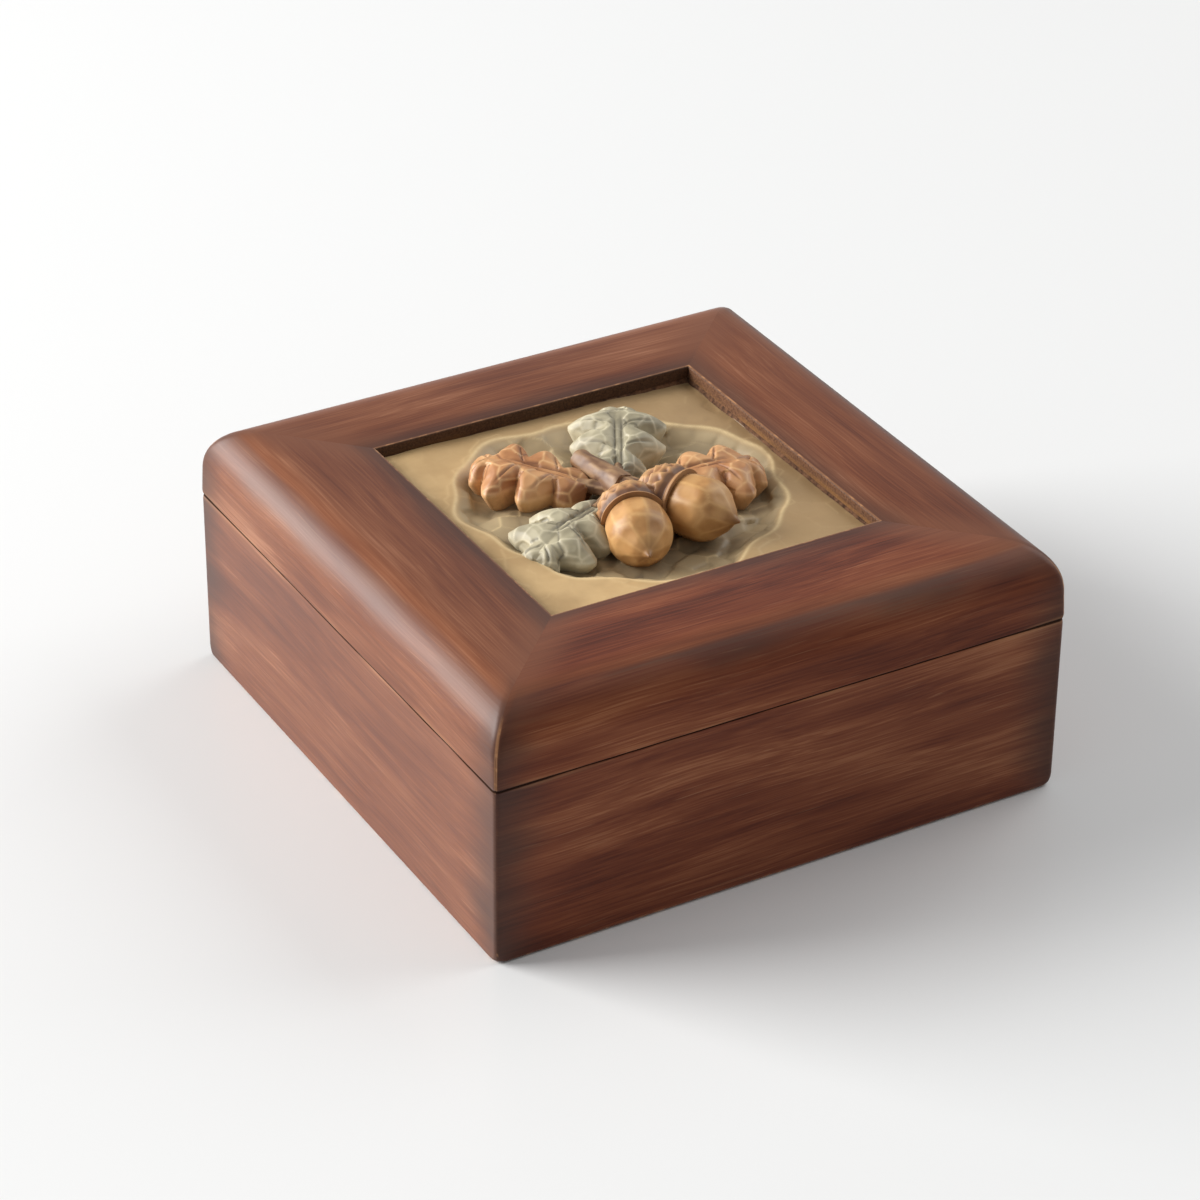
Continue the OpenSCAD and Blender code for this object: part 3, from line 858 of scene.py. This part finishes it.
def hollow_edge(turn):
    wave = 1.6 * np.sin(3 * turn + math.radians(40)) + 0.9 * np.sin(7 * turn)
    return MM * (38 + wave + 0.7 * np.sin(13 * turn + math.radians(70)))


def motif_outline():
    """Points on the leaves and acorns low enough to border the ground."""
    low = [points_of(form) for form in [*leaves, *nuts, *cups, oak_twig]]
    low = np.concatenate(low)
    low = low[low[:, 2] < panel_top + 3 * MM]
    return low[:: max(1, len(low) // 2500), :2]


def carved_ground():
    bpy.ops.object.select_all(action="DESELECT")
    bpy.ops.mesh.primitive_grid_add(x_subdivisions=210, y_subdivisions=210, size=2 * panel_half)
    ground = bpy.context.object
    ground.name = "carved_ground"
    points = points_of(ground)
    x, y = points[:, 0], points[:, 1]
    border = hollow_edge(np.arctan2(y, x)) - np.hypot(x, y)
    sunk = np.clip(border / hollow_slope, 0, 1)
    outline = motif_outline()
    distance = np.concatenate([
        np.sqrt(np.min(np.sum((part[:, None, :2] - outline[None]) ** 2, axis=2), axis=1))
        for part in np.array_split(points, 24)])
    uneven = 0.4 * ripple(x, y, 11 * MM, 7) * sunk + 0.1 * ripple(x, y, 16 * MM, 8)
    at_rebate = np.maximum(np.abs(x), np.abs(y)) > window_half + 0.1 * MM
    tilt = np.clip(0.17 - 12.5 * x - 8.3 * y - 30 * np.maximum(x - 20 * MM, 0), -1.5, 0.5)
    uneven = np.where(at_rebate, 0, uneven + tilt)
    moat = 0.7 * np.exp(-((distance / (2.2 * MM)) ** 2)) * sunk
    points[:, 2] = panel_top - hollow_depth * sunk + MM * (uneven - moat)
    move_points(ground, points)
    ridge, valley = carve(ground, 4.2 * MM, 0.05, 21, reach=0.5 * MM)
    cut = points_of(ground)
    keep = np.clip(sunk * 1.6, 0.25, 1)[:, None] * np.where(at_rebate, 0, 1)[:, None]
    move_points(ground, points + (cut - points) * keep)
    brim = np.exp(-((border / (0.55 * MM)) ** 2))
    store(ground, "ridge", np.maximum(ridge * (0.25 + 0.5 * sunk), brim))
    store(ground, "valley", valley * sunk)
    store(ground, "hollow", np.clip(border / (1.6 * MM), 0, 1))
    # How near the motif each point lies, for the painted shade beside it.
    store(ground, "shade", np.exp(-distance / (2.6 * MM)) * np.clip(sunk * 2, 0.3, 1))
    open_mesh(ground)
    select_rim()
    bpy.ops.mesh.extrude_edges_move(TRANSFORM_OT_translate={"value": (0, 0, panel_floor - panel_top)})
    bpy.ops.mesh.edge_face_add()
    bpy.ops.mesh.select_all(action="SELECT")
    bpy.ops.mesh.normals_make_consistent(inside=False)
    close_mesh()
    smooth(ground, 50)
    return ground


ground = carved_ground()
print("ground", len(ground.data.polygons), "faces")

# %% [markdown]
# ## Washes and rubbed ridges
# The carving is painted in thin washes: each form has its own colour, a darker wash settles in valleys,
# each form is darker towards its foot, and the ridges are rubbed pale. The ring under each leaf's edge is
# painted dark as shade. Fine mottling keeps the wash from looking poured from one tin. The ground is ochre,
# darker towards the right and the rear, olive-grey in the hollow, with painted shade darkest against the
# motif, and left bare in a narrow strip along the window's walls.

# %% Carved finishes


def carved_paint(name, body, pale, dark, roughness):
    finish = Finish(name)
    x, y, z = finish.place()
    patch = finish.noise(x * 130, y * 130, z * 130, 3.0)
    grain = finish.noise(x * 900, y * 900, z * 900, 3.0, 0.6)
    ridge = finish.attribute("ridge")
    valley = finish.attribute("valley")
    foot = finish.attribute("foot")
    colour = finish.mix(patch.step(0.36, 0.66) * 0.4, body, pale)
    colour = finish.mix((1 - patch).step(0.46, 0.7) * 0.3, colour, dark)
    # Darker towards each form's foot and in its valleys; on a leaf the valley mark also covers the ring
    # under its edge, painted dark as shade.
    colour = finish.mix((foot * 0.65).math("MAXIMUM", valley * 0.7), colour, dark)
    colour = finish.mix(ridge * (grain * 0.7 + 0.35), colour, pale)
    return finish.done(Base_Color=colour, Roughness=grain * 0.2 + roughness,
                       Normal=finish.bump(grain, 0.12, 0.15 * MM))


def ground_paint():
    finish = Finish("ochre ground")
    x, y, z = finish.place()
    patch = finish.noise(x * 90, y * 90, z * 90, 3.0)
    grain = finish.noise(x * 800, y * 800, z * 800, 3.0, 0.6)
    hollow = finish.attribute("hollow")
    shade = finish.attribute("shade")
    ridge = finish.attribute("ridge")
    valley = finish.attribute("valley")
    colour = finish.mix(patch.step(0.3, 0.7), paint(182, 149, 103), paint(203, 170, 121))
    # Darker towards the right and the rear.
    darker_right_rear = (x + y * 0.4 + (patch - 0.5) * (50 * MM)).step(-30 * MM, 40 * MM)
    colour = finish.mix(darker_right_rear * 0.7, colour, paint(151, 123, 87))
    washed = finish.mix(patch.step(0.35, 0.7), paint(162, 142, 108), paint(184, 163, 126))
    colour = finish.mix(hollow * 0.9, colour, washed)
    # Painted shade on the ground beside the motif.
    colour = finish.mix(shade.step(0.1, 0.95) * 0.55, colour, paint(110, 97, 78))
    colour = finish.mix(valley * 0.3, colour, paint(122, 107, 82))
    colour = finish.mix(ridge * (grain * 0.6 + 0.4), colour, paint(230, 204, 154))
    far = abs(x).math("MAXIMUM", abs(y))
    at_wall = (far + (patch - 0.5) * (0.6 * MM)).step(window_half - 0.4 * MM, window_half - 0.1 * MM)
    raw = finish.ramp(grain, (0.34, paint(62, 38, 24)), (0.68, paint(120, 84, 58)))
    colour = finish.mix(at_wall, colour, raw)
    return finish.done(Base_Color=colour, Roughness=(grain * 0.2 + 0.42).math("MAXIMUM", at_wall),
                       Normal=finish.bump(grain, 0.12, 0.15 * MM))


satin, matt = 0.36, 0.42
chestnut = carved_paint("chestnut leaf", paint(184, 126, 79), paint(224, 180, 128),
                        paint(112, 70, 48), satin)
sage = carved_paint("sage leaf", paint(162, 152, 124), paint(208, 198, 168), paint(98, 92, 78), matt)
for leaf, finish in zip(leaves, [chestnut, sage, chestnut, sage]):
    hand_over(leaf, "lid", "carved_wood", finish)
nut_paint = carved_paint("acorn nut", paint(186, 134, 78), paint(222, 178, 118), paint(104, 66, 36), satin)
cup_paint = carved_paint("acorn cup", paint(142, 92, 58), paint(206, 160, 108), paint(78, 50, 36), matt)
for form in nuts:
    hand_over(form, "lid", "carved_wood", nut_paint)
for form in cups:
    hand_over(form, "lid", "carved_wood", cup_paint)
twig_paint = carved_paint("twig", paint(118, 84, 60), paint(182, 146, 106), paint(66, 46, 36), matt)
hand_over(oak_twig, "lid", "carved_wood", twig_paint)
hand_over(ground, "lid", "carved_wood", ground_paint(), "carved_panel")

# %% [markdown]
# ## Felt
# The floor, the underside and the lid's inside are lined with thin felt. A sheet of felt isn't dead flat:
# a fine grid gets a faint unevenness, and Solidify gives it its thickness. Its colour is mottled by fibres.

# %% Felt linings


def felt(name, colour, thread):
    finish = Finish(name, Sheen_Weight=0.35, Sheen_Roughness=0.6)
    x, y, z = finish.place()
    matted = finish.noise(x * 260, y * 260, z * 260, 4.0, 0.7)
    fibre = finish.noise(x * 2600, y * 1400, z * 2600, 3.0, 0.7)
    shade = finish.mix(fibre.step(0.35, 0.7) * 0.6 + matted.step(0.4, 0.7) * 0.3, colour, thread)
    return finish.done(Base_Color=shade, Roughness=fibre * 0.1 + 0.88,
                       Normal=finish.bump(fibre * 0.6 + matted * 0.4, 0.5, 0.3 * MM))


def felt_sheet(node, name, body, material, seed):
    low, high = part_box(node)
    bpy.ops.object.select_all(action="DESELECT")
    bpy.ops.mesh.primitive_grid_add(x_subdivisions=60, y_subdivisions=60, size=high.x - low.x,
                                    location=(0, 0, high.z))
    piece = bpy.context.object
    bpy.ops.object.transform_apply()
    piece.name = name
    points = points_of(piece)
    points[:, 2] -= 0.08 * MM * (1 + ripple(points[:, 0], points[:, 1], 23 * MM, seed).clip(-1, 1))
    move_points(piece, points)
    thick = piece.modifiers.new("felt thickness", "SOLIDIFY")
    thick.thickness = high.z - low.z - 0.2 * MM
    thick.offset = -1
    choose(piece)
    bpy.ops.object.modifier_apply(modifier=thick.name)
    ease(piece, is_sharp, 0.25 * MM, 2)
    smooth(piece, 60)
    hand_over(piece, body, "felt", material, node)


lining_felt = felt("lining felt", paint(58, 40, 32), paint(84, 62, 50))
felt_sheet("base_lining", "floor_lining", "base", lining_felt, 31)
felt_sheet("base_felt", "underside_felt", "base", lining_felt, 32)
felt_sheet("lid_lining", "lid_inner_lining", "lid", lining_felt, 33)

# %% [markdown]
# ## Brass and bare board
# Hinges and screws keep their CAD shapes, with a little brass lost from each edge of the hinge leaves.
# The leaves have tarnished more than the screws. The bottom and backing boards are plain sanded wood.

# %% Brass hinges, screws and boards


def satin_brass(name, tarnished):
    finish = Finish(name, Metallic=1.0)
    x, y, z = finish.place()
    brushed = finish.noise(x * 300, y * 5200, z * 5200, 2.0)
    tarnish = finish.noise(x * 240, y * 240, z * 240, 4.0, 0.65)
    colour = finish.mix(tarnish.step(0.42, 0.72) * tarnished, paint(206, 172, 104), paint(146, 110, 58))
    return finish.done(Base_Color=colour, Roughness=brushed * 0.12 + tarnish * 0.22 + 0.16,
                       Normal=finish.bump(brushed, 0.1, 0.05 * MM))


def sanded_board():
    finish = Finish("sanded board")
    x, y, z = finish.place()
    figure = finish.noise(x * 9, y * 210, z * 210, 3.0)
    pore = finish.noise(x * 40, y * 2200, z * 2200, 2.0)
    colour = finish.ramp(figure * 0.7 + pore * 0.3,
                         (0.36, paint(150, 112, 76)), (0.64, paint(196, 158, 114)))
    return finish.done(Base_Color=colour, Roughness=pore * 0.15 + 0.6,
                       Normal=finish.bump(pore, 0.25, 0.15 * MM))


brass = satin_brass("satin brass", 1.0)
screw_brass = satin_brass("screw brass", 0.3)
for hand in ("left", "right"):
    for body in ("base", "lid"):
        node = f"{hand}_hinge_{body}_leaf"
        hinge_leaf = copy_of(node, f"{hand}_{body}_hinge_leaf")
        ease(hinge_leaf, is_sharp, 0.12 * MM, 2)
        smooth(hinge_leaf, 35)
        hand_over(hinge_leaf, body, "brass", brass, node)
for node, material in [("left_hinge_pin", brass), ("right_hinge_pin", brass),
                       ("base_hinge_screws", screw_brass), ("lid_hinge_screws", screw_brass),
                       ("lid_backing_screws", screw_brass), ("base_bottom", sanded_board()),
                       ("lid_backing", sanded_board())]:
    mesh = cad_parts[node].data
    mesh.materials.clear()
    mesh.materials.append(material)

# %% [markdown]
# ## Floor, light and camera
# The box stands on a pale, slightly glossy floor. A large soft light on the left and behind gives the
# bright left side and the sheen on its rounded edge. A weak one on the right and the grey surroundings
# fill the shadow. The camera has the photograph's place and lens, found by fitting the box's corners.

# %% Stage
bpy.ops.object.select_all(action="DESELECT")
bpy.ops.mesh.primitive_plane_add(size=8)
floor = bpy.context.object
floor.name = "floor"
floor.data.materials.append(Finish("pale floor", Base_Color=(0.82, 0.82, 0.81, 1), Roughness=0.3).material)


def soft_light(name, place, target, size, watts):
    bpy.ops.object.light_add(type="AREA", location=place)
    lamp = bpy.context.object
    lamp.name = name
    lamp.data.shape = "SQUARE"
    lamp.data.size = size
    lamp.data.energy = watts
    aim = Vector(target) - Vector(place)
    lamp.rotation_euler = aim.to_track_quat("-Z", "Y").to_euler()


soft_light("window light", (-1.77, 1.32, 0.97), (0, 0, 0.04), 1.6, 101)
soft_light("fill light", (1.8, 0.08, 1.42), (0, 0, 0), 2.1, 28)
world = bpy.data.worlds.new("studio")
world.use_nodes = True
world.node_tree.nodes["Background"].inputs["Color"].default_value = (0.97, 0.98, 1.0, 1)
world.node_tree.nodes["Background"].inputs["Strength"].default_value = 0.33
bpy.context.scene.world = world

heading = Matrix.Rotation(math.radians(-29.894), 3, "Z")
pitch = Matrix.Rotation(math.radians(90 - 31.272), 3, "X")
roll = Matrix.Rotation(math.radians(0.522), 3, "Z")
bpy.ops.object.camera_add(location=(-0.41519, -0.71182, 0.53288),
                          rotation=(heading @ pitch @ roll).to_euler())
camera = bpy.context.object
camera.data.sensor_width = 36
camera.data.lens = 124.46
bpy.context.scene.camera = camera
bpy.context.scene.view_settings.view_transform = "Standard"
